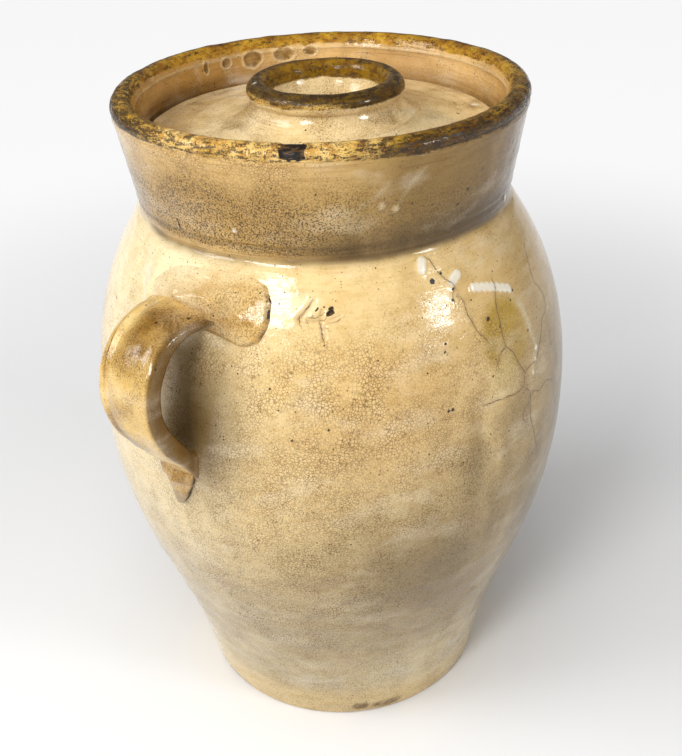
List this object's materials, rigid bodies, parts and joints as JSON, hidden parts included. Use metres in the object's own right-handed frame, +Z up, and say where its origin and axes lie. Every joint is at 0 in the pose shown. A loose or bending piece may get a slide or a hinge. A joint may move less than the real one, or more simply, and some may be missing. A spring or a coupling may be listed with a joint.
{
  "type": "lidded stoneware crock",
  "caption": "Thrown stoneware churn crock: bellied body, flared collar, strap handle, and a recessed lid with a raised ring round a dasher hole.",
  "frame": {"origin": "centre of the flat base, on the axis the pot was thrown about", "axes": "+Z up along the axis of the pot, -X towards the handle"},
  "size_m": [0.3186, 0.2888, 0.401],
  "materials": {
    "crock_glaze": "glossy buff stoneware glaze, crazed and stained, with iron specks and a worn golden-brown band on the lip",
    "lid_glaze": "glossy cream stoneware glaze with iron specks and a worn golden-brown ring"
  },
  "bodies": {
    "root": {"crock": "crock_glaze", "lid": "lid_glaze"}
  },
  "joints": []
}
